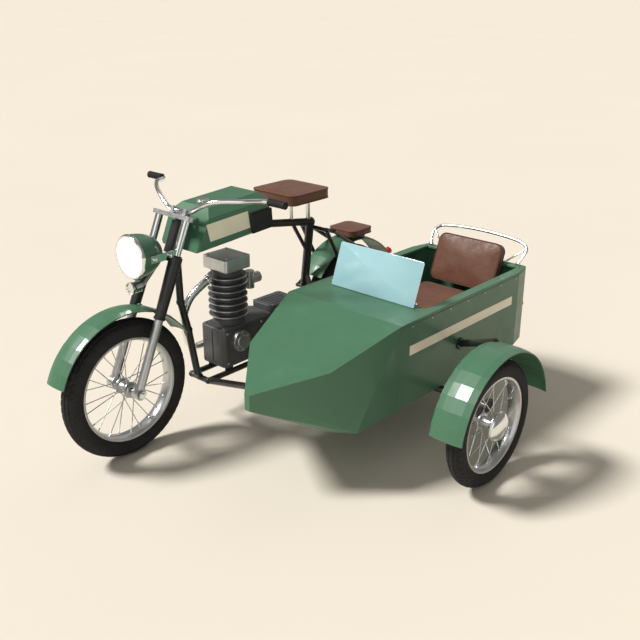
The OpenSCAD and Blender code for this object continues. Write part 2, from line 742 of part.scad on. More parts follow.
// ---------- sidecar ----------
// Tubes that carry the body and tie it to the motorcycle
module sidecar_chassis() place() color(black) difference() {
    union() {
        for (y = [chassis_in_y, chassis_out_y])
            bar([cross_x[0] + 20, y, chassis_z], [cross_x[2] - 20, y, chassis_z], chassis_r);
        bar([cross_x[2], chassis_in_y, chassis_z], [cross_x[2], chassis_out_y, chassis_z], chassis_r);
        bar([cross_x[0], chassis_in_y - 140, chassis_z], [cross_x[0], chassis_out_y, chassis_z], chassis_r);
        bar([cross_x[1], chassis_in_y - 140, chassis_z], [cross_x[1], arm_y, chassis_z], chassis_r);
        for (x = [cross_x[0], cross_x[1]])
            bent([[x, chassis_in_y, chassis_z], [x, chassis_in_y - 140, chassis_z], [x, cradle_y + 4, rail_z]],
                 chassis_r - 2);
        bar([cross_x[1], chassis_in_y - 146, chassis_z], [seat_tube_at(560), 12, 560], 13);
        // Carrier arm of the sidecar wheel
        translate([cross_x[1] - 26, arm_y, chassis_z - 26]) cube([52, 26, 52]);
        translate([-side_axle_x, arm_y + 26, chassis_z]) rotate([90, 0, 0]) cylinder(h = 26, r = 30);
        translate([cross_x[1], arm_y, chassis_z - 20]) cube([-side_axle_x - cross_x[1], 26, 40]);
    }
    for (x = [cross_x[0], cross_x[1]])
        bar([x + 60, cradle_y, rail_z], [x - 60, cradle_y, rail_z], rail_r + seat);
    translate([cradle_front_x, cradle_y, rail_z]) sphere(r = rail_r * lug + seat);
    bar(flat(seat_foot), flat(seat_top), seat_tube_r + seat);
    along_y(-side_axle_x, arm_y + 30, chassis_z) cylinder(h = 40, r = axle_r + run_fit);
}

// Stub axle, from the carrier arm into the wheel's hub
module sidecar_axle() place() color(silver)
    along_y(-side_axle_x, track + hub_l / 2 - 8, side_tyre_r) {
        cylinder(h = track + hub_l / 2 - 8 - arm_y + 2, r = axle_r);
        translate([0, 0, track + hub_l / 2 - 8 - arm_y + seat]) cylinder(h = 10, r = 17);
    }

// Sidecar mudguard with its two stays, and the strut from the body
module sidecar_mudguard() place() color(green) {
    translate([-side_axle_x, track + 4, side_tyre_r]) guard_band(side_guard_r, side_guard_w, side_guard_a);
    in_y = track + 4 - side_guard_w / 2;
    foot = [-side_axle_x, arm_y + 13, chassis_z + 30 + seat + 8];
    for (a = [38, 142]) {
        rim_p = [-side_axle_x + side_guard_r * cos(a), in_y + 8, side_tyre_r + side_guard_r * sin(a) - 2];
        bar([foot[0] + (a < 90 ? 10 : -10), foot[1], foot[2]], rim_p, 8);
    }
    bar(foot - [16, 0, 0], foot + [16, 0, 0], 8);
    strut = [[-1130, body_y + half_w + seat, 470], [-985, in_y + 10, side_tyre_r + side_guard_r * sin(110)]];
    bar(strut[0] + 14 * unit(strut[1] - strut[0]), strut[1], 17);
    translate(strut[0]) rotate([-90, 0, 0]) cylinder(h = 8, r = 28);
}

// Outline of the body behind the nose, grown or shrunk by d
function rear_outline(d) = [
    [-cowl_x, half_w + d], [-side_end_x, half_w + d], [-rear_x - d, rear_half_w + d],
    [-rear_x - d, -rear_half_w - d], [-side_end_x, -half_w - d], [-cowl_x, -half_w - d]];

module at_body(z) { translate([0, body_y, z]) children(); }

module body_floor() place() color(green) at_body(body_z)
    linear_extrude(wall) polygon(rear_outline(-wall - seat));

// Left and right side walls, up to the deck
module body_sides() place() color(green) at_body(body_z) linear_extrude(body_h - wall - seat)
    for (side = [-1, 1]) mirror([0, side < 0 ? 1 : 0]) polygon([
        [-cowl_x, half_w], [-side_end_x, half_w], [-side_end_x, half_w - wall], [-cowl_x, half_w - wall]]);

// Rear wall with its two slanted corners
module body_rear() place() color(green) at_body(body_z) linear_extrude(body_h - wall - seat) difference() {
    polygon([[-side_end_x - seat, half_w], [-rear_x, rear_half_w], [-rear_x, -rear_half_w],
             [-side_end_x - seat, -half_w]]);
    polygon([[-side_end_x + 1, half_w - wall], [-rear_x + wall, rear_half_w - wall],
             [-rear_x + wall, wall - rear_half_w], [-side_end_x + 1, wall - half_w]]);
}

// Deck in front of the windscreen and the coaming round the cockpit
module body_deck() place() color(green) at_body(body_z + body_h - wall) linear_extrude(wall) difference() {
    polygon(rear_outline(0));
    translate([-open_rear_x, -half_w + coaming_w])
        square([open_rear_x - open_front_x, body_w - 2 * coaming_w]);
}

// Nose outline points, drawn in by t all round
function nose_points(t) = [
    for (side = [-1, 1]) each [
        [-cowl_x - (t > 0 ? 1 : 0), side * (half_w - t), body_z + t],
        [-cowl_x - (t > 0 ? 1 : 0), side * (half_w - t), body_top - t * 1.1],
        [-nose_low_x - t * 0.6, side * (half_w - t * 1.2), body_z + t],
        [-nose_mid_x - t * 0.6, side * (231 - t * 1.2), body_z + t],
        [-nose_mid_x - t * 0.4, side * (231 - t * 1.2), body_top - 122 - t * 1.1],
        [-nose_x - t * 2, side * 14, body_top - 206 - t * 1.4],
        [-nose_x - t * 2, side * 14, body_top - 277 + t * 0.6]]];

module nose_solid(t) hull() for (p = nose_points(t)) translate([p[0], body_y + p[1], p[2]]) cube(0.02, center = true);

// Hollow nose, open to the cockpit
module body_nose() place() color(green) translate([seat, 0, 0]) difference() {
    nose_solid(0);
    nose_solid(wall);
}

// Plain box that carries the cushion
module seat_base() place() color(black)
    translate([-1572, body_y - 185, body_z + wall + seat]) cube([430, 370, 112]);

module seat_cushion() place() color(leather)
    translate([-1358, body_y, body_z + wall + 112 + 2 * seat]) linear_extrude(118) round_rect(440, 400, 40);

// Seat back, leaning on the rear coaming
back_t = 46;
module seat_back() place() color(leather)
    translate([-1592, body_y, 556]) rotate([0, -22, 0]) translate([-back_t, 0, 0]) rotate([0, 90, 0])
        translate([-125, 0, 0]) linear_extrude(back_t) round_rect(250, 380, 40);

screen_lean = 20;
screen_x = -880;

module windscreen() place() color("#9fc3cb", 0.5)
    translate([screen_x, body_y - screen_w / 2, body_top + seat]) rotate([0, -screen_lean, 0])
        cube([5, screen_w, screen_h]);

// Chrome bar behind the foot of the windscreen, on two feet
module screen_bar() place() color(silver) {
    bar_z = body_top + 16;
    x = screen_x - 16 * tan(screen_lean) - 9.5;
    bar([x, body_y - 246, bar_z], [x, body_y + 246, bar_z], 7);
    for (side = [-1, 1]) translate([x, body_y + side * 220, body_top + seat]) cylinder(h = 16, r = 8);
}

// Grab rail round the seat back, standing on the coaming, with a brace at each side
module grab_rail() place() color(silver) {
    foot_z = body_top + seat;
    rail = [[-1713, 262, foot_z + 7], [-1738, 276, 730], [-1764, 276, 764], [-1780, 236, 788],
            [-1788, 120, 800], [-1788, 0, 804]];
    left = smooth(rail, 4);
    translate([0, body_y, 0]) swept([each left, for (i = [len(left) - 2 : -1 : 0]) [left[i][0], -left[i][1], left[i][2]]],
        8, [1, 0, 0]);
    for (side = [-1, 1]) {
        translate([0, body_y, 0]) {
            bar([-1758, side * 268, 758], [-1714, side * 190, foot_z + 5], 5);
            translate([-1713, side * 262, foot_z]) cylinder(h = 12, r = 13);
            translate([-1714, side * 190, foot_z]) cylinder(h = 9, r = 12);
        }
    }
}

front_tyre();
front_wheel();
rear_tyre();
rear_wheel();
sidecar_tyre();
sidecar_wheel();
front_axle();
fork_sliders();
fork_covers();
fork_tubes();
steering_stem();
top_yoke();
handlebar();
grips();
headlamp_shell();
headlamp_rim();
headlamp_lens();
headlamp_ears();
horn();
front_mudguard();
frame();
rear_stays();
rear_axle();
crankcase();
gearbox();
cylinder_barrel();
cylinder_head();
timing_cover();
carburettor();
exhaust_pipe();
silencer();
chain_case();
footrests();
fuel_tank();
fuel_cap();
cream_panels();
knee_pads();
saddle();
saddle_posts();
pillion_pad();
pillion_bracket();
rear_mudguard();
tail_lamps();
sidecar_chassis();
sidecar_axle();
sidecar_mudguard();
body_floor();
body_nose();
body_sides();
body_rear();
body_deck();
seat_base();
seat_cushion();
seat_back();
windscreen();
screen_bar();
grab_rail();
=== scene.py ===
# Looks of a motorcycle with a boat-nosed sidecar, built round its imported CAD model.
import math

import bmesh
import bpy
from mathutils import Matrix, Vector, noise


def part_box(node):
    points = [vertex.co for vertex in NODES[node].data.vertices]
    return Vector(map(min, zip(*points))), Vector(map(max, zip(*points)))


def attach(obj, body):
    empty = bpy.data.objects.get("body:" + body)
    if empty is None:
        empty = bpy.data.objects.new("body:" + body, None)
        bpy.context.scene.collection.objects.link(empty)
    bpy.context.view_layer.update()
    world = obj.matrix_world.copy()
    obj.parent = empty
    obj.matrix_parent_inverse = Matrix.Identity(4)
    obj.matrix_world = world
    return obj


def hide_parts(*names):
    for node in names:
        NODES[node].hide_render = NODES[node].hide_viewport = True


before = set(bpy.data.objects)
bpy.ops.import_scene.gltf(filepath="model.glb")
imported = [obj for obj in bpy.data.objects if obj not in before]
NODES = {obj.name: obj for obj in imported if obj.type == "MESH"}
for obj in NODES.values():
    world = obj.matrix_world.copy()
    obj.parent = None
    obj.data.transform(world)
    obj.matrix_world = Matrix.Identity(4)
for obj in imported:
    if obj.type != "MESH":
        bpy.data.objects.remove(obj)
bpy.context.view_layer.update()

MM = 0.001
low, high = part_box("front_tyre")
AXLE = (low + high) / 2
RAKE = math.radians(24)


def P(x, y, z):
    """A point given in mm from the front axle, the centre plane and the ground."""
    return Vector((AXLE.x + x * MM, AXLE.y + y * MM, z * MM))


def on_fork(x, y, s):
    """A point of the fork frame: s along the legs from the axle, x square to them."""
    return P(x * math.cos(RAKE) - s * math.sin(RAKE), y, 324 + s * math.cos(RAKE) + x * math.sin(RAKE))


LEG = Vector((-math.sin(RAKE), 0, math.cos(RAKE)))

# ---------- materials ----------


def new_material(name, rough, metal=0.0, coat=0.0, sheen=0.0, ior=1.45):
    m = bpy.data.materials.new(name)
    m.use_nodes = True
    shader = m.node_tree.nodes["Principled BSDF"]
    shader.inputs["Metallic"].default_value = metal
    shader.inputs["Coat Weight"].default_value = coat
    shader.inputs["Coat Roughness"].default_value = 0.12
    shader.inputs["Sheen Weight"].default_value = sheen
    shader.inputs["IOR"].default_value = ior
    shader.inputs["Roughness"].default_value = rough
    return m, m.node_tree, shader


def coordinates(tree, stretch=None):
    out = tree.nodes.new("ShaderNodeTexCoord").outputs["Object"]
    if stretch:
        mapping = tree.nodes.new("ShaderNodeMapping")
        mapping.inputs["Scale"].default_value = stretch
        tree.links.new(out, mapping.inputs["Vector"])
        out = mapping.outputs["Vector"]
    return out


def noise_node(tree, where, scale, detail=3.0, rough=0.5):
    n = tree.nodes.new("ShaderNodeTexNoise")
    n.inputs["Scale"].default_value = scale
    n.inputs["Detail"].default_value = detail
    n.inputs["Roughness"].default_value = rough
    tree.links.new(where, n.inputs["Vector"])
    return n.outputs["Fac"]


def ramp(tree, fac, stops):
    r = tree.nodes.new("ShaderNodeValToRGB")
    while len(r.color_ramp.elements) < len(stops):
        r.color_ramp.elements.new(0.5)
    for element, (at, colour) in zip(r.color_ramp.elements, stops):
        element.position = at
        element.color = (*colour, 1)
    tree.links.new(fac, r.inputs["Fac"])
    return r.outputs["Color"]


def scale_range(tree, fac, low_value, high_value):
    r = tree.nodes.new("ShaderNodeMapRange")
    r.inputs["From Min"].default_value = 0.3
    r.inputs["From Max"].default_value = 0.7
    r.inputs["To Min"].default_value = low_value
    r.inputs["To Max"].default_value = high_value
    tree.links.new(fac, r.inputs["Value"])
    return r.outputs["Result"]


def bump(tree, shader, height, strength, distance, under=None):
    b = tree.nodes.new("ShaderNodeBump")
    b.inputs["Strength"].default_value = strength
    b.inputs["Distance"].default_value = distance
    tree.links.new(height, b.inputs["Height"])
    if under:
        tree.links.new(under, b.inputs["Normal"])
    tree.links.new(b.outputs["Normal"], shader.inputs["Normal"])
    return b.outputs["Normal"]


def tint(colour, k):
    return tuple(min(1.0, c * k) for c in colour)


def surface(name, colour, rough, metal=0.0, coat=0.0, sheen=0.0, vary=0.08, patch=7.0, grain=900.0,
            strength=0.06, distance=0.0004, spread=0.06, stretch=None, dust=None):
    """A finish with patchy colour, a fine grain and roughness that varies a little."""
    m, tree, shader = new_material(name, rough, metal, coat, sheen)
    where = coordinates(tree, stretch)
    patches = noise_node(tree, coordinates(tree), patch, 4)
    stops = [(0.32, tint(colour, 1 - vary)), (0.55, colour), (0.72, tint(colour, 1 + vary))]
    if dust:
        stops.append((0.86, dust))
    tree.links.new(ramp(tree, patches, stops), shader.inputs["Base Color"])
    fine = noise_node(tree, where, grain, 2)
    mottle = noise_node(tree, coordinates(tree), patch * 5, 3)
    tree.links.new(scale_range(tree, mottle, rough - spread, rough + spread), shader.inputs["Roughness"])
    bump(tree, shader, fine, strength, distance)
    return m


GREEN = (0.056, 0.155, 0.086)
green = surface("green_enamel", GREEN, 0.42, coat=0.18, vary=0.07, patch=3.5, grain=420, strength=0.05,
                dust=(0.070, 0.180, 0.100))
cream = surface("cream_enamel", (0.92, 0.85, 0.67), 0.45, coat=0.15, vary=0.05, patch=9, grain=500, strength=0.05)
black = surface("black_enamel", (0.017, 0.018, 0.019), 0.42, coat=0.25, vary=0.22, patch=8, grain=700,
                dust=(0.034, 0.034, 0.035))
chrome = surface("chrome_plate", (0.80, 0.81, 0.82), 0.16, metal=1.0, vary=0.04, patch=12, grain=60,
                 strength=0.02, spread=0.05)
alloy = surface("cast_alloy", (0.56, 0.57, 0.58), 0.36, metal=0.9, vary=0.08, patch=15, grain=1100,
                strength=0.16, spread=0.08)
steel = surface("brushed_steel", (0.55, 0.56, 0.57), 0.34, metal=1.0, vary=0.06, patch=18, grain=300,
                strength=0.10, stretch=(1, 9, 1))
engine = surface("engine_casting", (0.088, 0.090, 0.094), 0.52, metal=0.25, vary=0.16, patch=11, grain=850,
                 strength=0.30, distance=0.0006, dust=(0.10, 0.098, 0.094))
# Painted highlight: a lighter metal colour on the fins' outer edges stands in for the light reflected along them.
fin_edge_highlight = surface("painted_fin_highlight", (0.48, 0.49, 0.50), 0.35, metal=0.8, vary=0.10, patch=20, grain=600)
rubber = surface("moulded_rubber", (0.016, 0.016, 0.017), 0.78, vary=0.20, patch=16, grain=1300,
                 strength=0.22, dust=(0.035, 0.034, 0.032))
tread = surface("tyre_rubber", (0.014, 0.014, 0.015), 0.82, vary=0.22, patch=14, grain=1500,
                strength=0.25, dust=(0.040, 0.037, 0.033))
red = surface("red_lamp", (0.62, 0.018, 0.012), 0.22, coat=0.6, vary=0.12, patch=30, grain=240, strength=0.25)
seam = surface("seam_thread", (0.085, 0.026, 0.013), 0.62, vary=0.15, patch=60, grain=1800, strength=0.4)
box_paint = surface("seat_box_paint", (0.024, 0.024, 0.025), 0.6, vary=0.2, patch=10, grain=900, strength=0.2)


def leather_material():
    colour = (0.118, 0.043, 0.021)
    m, tree, shader = new_material("brown_leather", 0.5, sheen=0.10)
    where = coordinates(tree)
    patches = noise_node(tree, where, 9, 5, 0.6)
    base = ramp(tree, patches, [(0.25, tint(colour, 0.72)), (0.5, colour), (0.68, tint(colour, 1.16)),
                                (0.85, tint(colour, 1.36))])
    tree.links.new(base, shader.inputs["Base Color"])
    cells = tree.nodes.new("ShaderNodeTexVoronoi")
    cells.feature = "DISTANCE_TO_EDGE"
    cells.inputs["Scale"].default_value = 330
    tree.links.new(where, cells.inputs["Vector"])
    grain = bump(tree, shader, cells.outputs["Distance"], 0.35, 0.0007)
    creases = noise_node(tree, where, 26, 5, 0.62)
    bump(tree, shader, creases, 0.28, 0.004, grain)
    tree.links.new(scale_range(tree, noise_node(tree, where, 40, 3), 0.42, 0.60), shader.inputs["Roughness"])
    return m


def glass_material():
    m, tree, shader = new_material("screen_glass", 0.07, coat=0.2)
    where = coordinates(tree)
    tree.links.new(ramp(tree, noise_node(tree, where, 4, 2), [(0.3, (0.36, 0.62, 0.68)), (0.7, (0.44, 0.70, 0.76))]),
                   shader.inputs["Base Color"])
    shader.inputs["Alpha"].default_value = 0.72
    bump(tree, shader, noise_node(tree, where, 9, 1), 0.03, 0.001)
    return m


def lens_material():
    m, tree, shader = new_material("lamp_lens", 0.16, coat=0.5)
    where = coordinates(tree)
    glow = ramp(tree, noise_node(tree, where, 14, 1), [(0.3, (1.0, 0.93, 0.78)), (0.7, (1.0, 0.98, 0.92))])
    tree.links.new(glow, shader.inputs["Base Color"])
    tree.links.new(glow, shader.inputs["Emission Color"])
    shader.inputs["Emission Strength"].default_value = 4.5
    waves = tree.nodes.new("ShaderNodeTexWave")
    waves.bands_direction = "Y"
    waves.inputs["Scale"].default_value = 26
    tree.links.new(where, waves.inputs["Vector"])
    bump(tree, shader, waves.outputs["Fac"], 0.5, 0.002)
    return m


leather = leather_material()
glass = glass_material()
lens = lens_material()

# ---------- mesh helpers ----------


class Shape:
    """Vertices and faces of one piece, with a material number for each face."""

    def __init__(self):
        self.verts, self.faces, self.mats = [], [], []

    def add(self, verts, faces, mat=0):
        n = len(self.verts)
        self.verts += [Vector(v) for v in verts]
        self.faces += [tuple(i + n for i in f) for f in faces]
        self.mats += [mat] * len(faces)
        return self


def aim(centre, axis):
    """A matrix that takes local Z to axis and the origin to centre."""
    return Matrix.Translation(centre) @ Vector(axis).to_track_quat("Z", "Y").to_matrix().to_4x4()


def lathe(profile, centre, axis, segments=64, loop=False):
    """Turns (radius, height) points, in mm, about an axis."""
    m = aim(centre, axis)
    verts = [m @ Vector((r * MM * math.cos(a), r * MM * math.sin(a), h * MM))
             for r, h in profile for a in [math.tau * k / segments for k in range(segments)]]
    count = len(profile)
    faces = []
    for i in range(count if loop else count - 1):
        j = (i + 1) % count
        for k in range(segments):
            k2 = (k + 1) % segments
            faces.append((i * segments + k, i * segments + k2, j * segments + k2, j * segments + k))
    return verts, faces


def tube(points, radius, sides=20):
    """A round tube with rounded ends along points, in metres; radius in mm."""
    r = radius * MM
    points = [Vector(p) for p in points]
    first, last = (points[0] - points[1]).normalized(), (points[-1] - points[-2]).normalized()
    path = [(points[0], 0.55), (points[0] - first * r * 0.25, 1.0)]
    path += [(p, 1.0) for p in points[1:-1]]
    path += [(points[-1] - last * r * 0.25, 1.0), (points[-1], 0.55)]
    across = (path[1][0] - path[0][0]).orthogonal().normalized()
    verts, faces = [], []
    for i, (p, k) in enumerate(path):
        along = (path[min(i + 1, len(path) - 1)][0] - path[max(i - 1, 0)][0]).normalized()
        across = (across - along * across.dot(along)).normalized()
        other = along.cross(across)
        for s in range(sides):
            a = math.tau * s / sides
            verts.append(p + (across * math.cos(a) + other * math.sin(a)) * r * k)
    for i in range(len(path) - 1):
        for s in range(sides):
            t = (s + 1) % sides
            faces.append((i * sides + s, i * sides + t, (i + 1) * sides + t, (i + 1) * sides + s))
    faces.append(tuple(range(sides)))
    faces.append(tuple(len(verts) - 1 - s for s in range(sides)))
    return verts, faces


def smooth_path(points, steps=8):
    """Points of a Catmull-Rom curve through points."""
    out = []
    for i in range(len(points) - 1):
        a, b = points[max(i - 1, 0)], points[i]
        c, d = points[i + 1], points[min(i + 2, len(points) - 1)]
        for j in range(steps):
            t = j / steps
            out.append(0.5 * (2 * b + (c - a) * t + (2 * a - 5 * b + 4 * c - d) * t * t
                              + (3 * b - a - 3 * c + d) * t * t * t))
    return out + [points[-1]]


def hexagon(at, normal, radius, height):
    """A hexagon bolt head on its washer."""
    m = aim(at, normal)
    shape = Shape().add(*lathe([(0, 0), (radius * 1.35, 0), (radius * 1.35, 1.2), (0, 1.2)], at, normal, 20))
    rings = [(radius, 1.0), (radius, height * 0.8), (radius * 0.84, height)]
    verts = [m @ Vector((r * MM * math.cos(k * math.pi / 3), r * MM * math.sin(k * math.pi / 3), h * MM))
             for r, h in rings for k in range(6)]
    faces = [(i * 6 + k, i * 6 + (k + 1) % 6, i * 6 + 6 + (k + 1) % 6, i * 6 + 6 + k)
             for i in range(2) for k in range(6)] + [tuple(range(12, 18))]
    return shape.add(verts, faces)


def put(name, shape, body, mats, replaces=(), angle=38, weighted=False, bevel=0.0, flat=False):
    """Makes the piece, and lets it ride on its body."""
    mesh = bpy.data.meshes.new(name)
    mesh.from_pydata(shape.verts, [], shape.faces)
    for m in mats:
        mesh.materials.append(m)
    mesh.polygons.foreach_set("material_index", shape.mats)
    bm = bmesh.new()
    bm.from_mesh(mesh)
    bmesh.ops.remove_doubles(bm, verts=bm.verts, dist=1e-6)
    bmesh.ops.dissolve_degenerate(bm, edges=bm.edges, dist=1e-7)
    bmesh.ops.recalc_face_normals(bm, faces=bm.faces)
    if bevel:
        edges = [e for e in bm.edges if len(e.link_faces) == 2 and e.calc_face_angle(0) > math.radians(32)]
        bmesh.ops.bevel(bm, geom=edges, offset=bevel * MM, segments=2, profile=0.6, affect="EDGES",
                        clamp_overlap=True)
    bm.to_mesh(mesh)
    bm.free()
    if not flat:
        mesh.shade_smooth()
        mesh.set_sharp_from_angle(angle=math.radians(angle))
    obj = bpy.data.objects.new(name, mesh)
    bpy.context.scene.collection.objects.link(obj)
    if weighted:
        obj.modifiers.new("normals", "WEIGHTED_NORMAL").keep_sharp = True
    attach(obj, body)
    if replaces:
        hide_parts(*replaces)
    return obj


def refine(node, body, mat, bevel=1.5, segments=3, sharp=30, name=None):
    """A copy of a CAD node with welded vertices and rounded edges."""
    mesh = bpy.data.meshes.new(name or node + "_skin")
    bm = bmesh.new()
    bm.from_mesh(NODES[node].data)
    bmesh.ops.remove_doubles(bm, verts=bm.verts, dist=4e-6)
    bmesh.ops.dissolve_limit(bm, angle_limit=math.radians(0.4), verts=bm.verts, edges=bm.edges)
    if bevel:
        edges = [e for e in bm.edges if len(e.link_faces) == 2 and e.calc_face_angle(0) > math.radians(sharp)]
        bmesh.ops.bevel(bm, geom=edges, offset=bevel * MM, segments=segments, profile=0.5, affect="EDGES",
                        clamp_overlap=True)
    bmesh.ops.recalc_face_normals(bm, faces=bm.faces)
    bm.to_mesh(mesh)
    bm.free()
    mesh.materials.clear()
    mesh.materials.append(mat)
    mesh.polygons.foreach_set("material_index", [0] * len(mesh.polygons))
    mesh.shade_smooth()
    mesh.set_sharp_from_angle(angle=math.radians(36))
    obj = bpy.data.objects.new(name or node + "_skin", mesh)
    bpy.context.scene.collection.objects.link(obj)
    if bevel:
        obj.modifiers.new("normals", "WEIGHTED_NORMAL").keep_sharp = True
    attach(obj, body)
    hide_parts(node)
    return obj


# ---------- camera, light and floor ----------
cam = bpy.data.objects.new("camera", bpy.data.cameras.new("camera"))
bpy.context.scene.collection.objects.link(cam)
cam.data.lens, cam.data.sensor_width = 48.88, 36
cam.data.clip_end = 500
cam.location = P(2007, 2988, 2048)
heading, pitch = math.radians(222.19), math.radians(21.82)
look = Vector((math.cos(heading) * math.cos(pitch), math.sin(heading) * math.cos(pitch), -math.sin(pitch)))
cam.rotation_mode = "QUATERNION"
cam.rotation_quaternion = look.to_track_quat("-Z", "Y")
bpy.context.scene.camera = cam


def lamp(name, kind, energy, towards, colour, **settings):
    data = bpy.data.lights.new(name, kind)
    data.energy, data.color = energy, colour
    for key, value in settings.items():
        setattr(data, key, value)
    obj = bpy.data.objects.new(name, data)
    obj.location = P(-700, 400, 400) - Vector(towards).normalized() * 7
    obj.rotation_mode = "QUATERNION"
    obj.rotation_quaternion = Vector(towards).to_track_quat("-Z", "Y")
    bpy.context.scene.collection.objects.link(obj)


right = Vector((-0.672, 0.741, 0))
ahead = Vector((-0.741, -0.672, 0))
up = Vector((0, 0, 1))
lamp("key", "SUN", 4.1, right * 0.95 + ahead * 0.10 - up * 1.12, (1.0, 0.98, 0.95), angle=math.radians(14))
lamp("fill", "SUN", 0.50, ahead * 1.0 + right * 0.25 - up * 0.5, (0.97, 0.98, 1.0), angle=math.radians(50))
lamp("back", "SUN", 0.25, ahead * -1.0 - right * 0.5 - up * 0.9, (1.0, 0.97, 0.93), angle=math.radians(50))

bpy.context.scene.view_settings.view_transform = "Standard"
world = bpy.data.worlds.new("world")
bpy.context.scene.world = world
world.use_nodes = True
world.node_tree.nodes["Background"].inputs["Color"].default_value = (0.95, 0.90, 0.83, 1)
world.node_tree.nodes["Background"].inputs["Strength"].default_value = 0.24

floor_mesh = bpy.data.meshes.new("floor")
floor_mesh.from_pydata([(-220, -220, 0), (220, -220, 0), (220, 220, 0), (-220, 220, 0)], [], [(0, 1, 2, 3)])
floor = bpy.data.objects.new("floor", floor_mesh)
bpy.context.scene.collection.objects.link(floor)
floor_mesh.materials.append(surface("floor_paper", (0.712, 0.655, 0.56), 0.9, vary=0.012, patch=0.4, grain=40,
                                    strength=0.02))

# ---------- tyres and wheels ----------


def tyre(name, node, body, blocks):
    lo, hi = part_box(node)
    centre = (lo + hi) / 2
    outer, half = (hi.z - lo.z) / 2 / MM, (hi.y - lo.y) / 2 / MM
    outer -= 0.1
    bead = {"sidecar_tyre": (207.0, 27.5)}.get(node, (237.0, 32.0))
    mid = outer - half
    section, groove = [], []
    for k in range(49):
        a = math.radians(-128 + 256 * k / 48)
        squash = 1.0 - 0.035 * math.cos(a * 2) ** 2 * (abs(math.degrees(a)) > 40)
        section.append((max(mid + half * math.cos(a), bead[0]), half * squash * math.sin(a)))
        groove.append(math.degrees(a))
    section = [(bead[0], -bead[1])] + [s for s in section if s[0] > bead[0] + 7] + [(bead[0], bead[1])]
    angles = [None] + [g for g, a in zip(groove, range(49)) if mid + half * math.cos(math.radians(g)) > bead[0] + 7]
    angles.append(None)
    segments = blocks * 6
    m = aim(centre, (0, 1, 0))
    verts, faces = [], []
    for (r, y), g in zip(section, angles):
        for k in range(segments):
            depth = 0.0
            if g is not None and abs(g) < 62:
                ring = min(abs(abs(g) - 14), abs(abs(g) - 40))
                shift = 3 if 14 < abs(g) <= 40 else 0
                if ring < 2.8:
                    depth = 4.2
                elif abs(g) > 14 and (k + shift) % 6 == 0:
                    depth = 3.8
            elif g is not None and 96 < abs(g) < 101:
                depth = 1.1
            a = math.tau * k / segments
            k_y = 1 - depth / (half * 2)
            verts.append(m @ Vector(((r - depth) * MM * math.cos(a), (r - depth) * MM * math.sin(a), y * k_y * MM)))
    rows = len(section)
    for i in range(rows):
        j = (i + 1) % rows
        for k in range(segments):
            k2 = (k + 1) % segments
            faces.append((i * segments + k, i * segments + k2, j * segments + k2, j * segments + k))
    put(name, Shape().add(verts, faces), body, [tread], (node,), angle=28)


def wheel(name, node, body, flange_r, rim_w, cap=False):
    tyre_node = node.replace("wheel", "tyre")
    lo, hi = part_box(tyre_node)
    centre = (lo + hi) / 2
    h, base = rim_w / 2, flange_r - 7
    shape = Shape()
    section = [(flange_r, h - 0.6), (flange_r - 0.8, h), (flange_r - 3, h - 0.2), (base - 3, h - 1.6),
               (base - 5.5, h - 5), (base - 9, h - 12), (base - 11.4, h - 17), (base - 12, 0),
               (base - 11.4, 17 - h), (base - 9, 12 - h), (base - 5.5, 5 - h), (base - 3, 1.6 - h),
               (flange_r - 3, 0.2 - h), (flange_r - 0.8, -h), (flange_r, 0.6 - h), (flange_r - 0.6, 3 - h),
               (base, 3.2 - h), (base, h - 3.2), (flange_r - 0.6, h - 3)]
    shape.add(*lathe(section, centre, (0, 1, 0), 144, loop=True))
    shape.add(*lathe([(12, -40), (22, -40), (24, -38), (24, -35), (37, -34.5), (37.5, -31), (36, -28), (25, -26),
                      (21, -14), (20, 0), (21, 14), (25, 26), (36, 28), (37.5, 31), (37, 34.5), (24, 35), (24, 38),
                      (22, 40), (12, 40)], centre, (0, 1, 0), 64))
    reach = flange_r - 17
    for i in range(24):
        side = 1 if i % 2 == 0 else -1
        lean = math.radians(34 if i % 4 < 2 else -34)
        a = math.tau * i / 24
        start = centre + Vector((31 * math.cos(a + lean), side * 31, 31 * math.sin(a + lean))) * MM
        end = centre + Vector((reach * math.cos(a), side * 7, reach * math.sin(a))) * MM
        shape.add(*tube([start, start.lerp(end, 0.5), end], 2.2, 8))
        run = (start - end).normalized()
        shape.add(*lathe([(0, -1), (4.4, -1), (4.4, 3), (3.2, 5), (3.2, 17), (0, 17.5)], end, run, 8), 1)
        shape.add(*lathe([(0, -2.5), (3.6, -2.5), (4.2, 0), (3.6, 2.5), (0, 2.5)], start, run, 8), 1)
    if cap:
        dome = [(66 * math.cos(t), 46 + 29.5 * math.sin(t)) for t in [math.radians(9 * k) for k in range(11)]]
        shape.add(*lathe([(24, 39), (60, 39.6), (66, 40.5), (66, 44), (63, 45.4)] + dome[1:], centre, (0, 1, 0), 72), 1)
        shape.add(*lathe([(0, 70), (13, 72.5), (14, 75), (9, 75.8), (0, 76)], centre, (0, 1, 0), 40), 1)
    put(name, shape, body, [steel, chrome], (node,))


for which, n_blocks, flange, width in (("front", 58, 243, 72), ("rear", 62, 243, 72), ("sidecar", 52, 213, 64)):
    tyre(which + "_tyre_tread", which + "_tyre", which + "_wheel", n_blocks)
    wheel(which + "_spoked_wheel", which + "_wheel", which + "_wheel", flange, width, cap=which == "sidecar")

# ---------- mudguards ----------


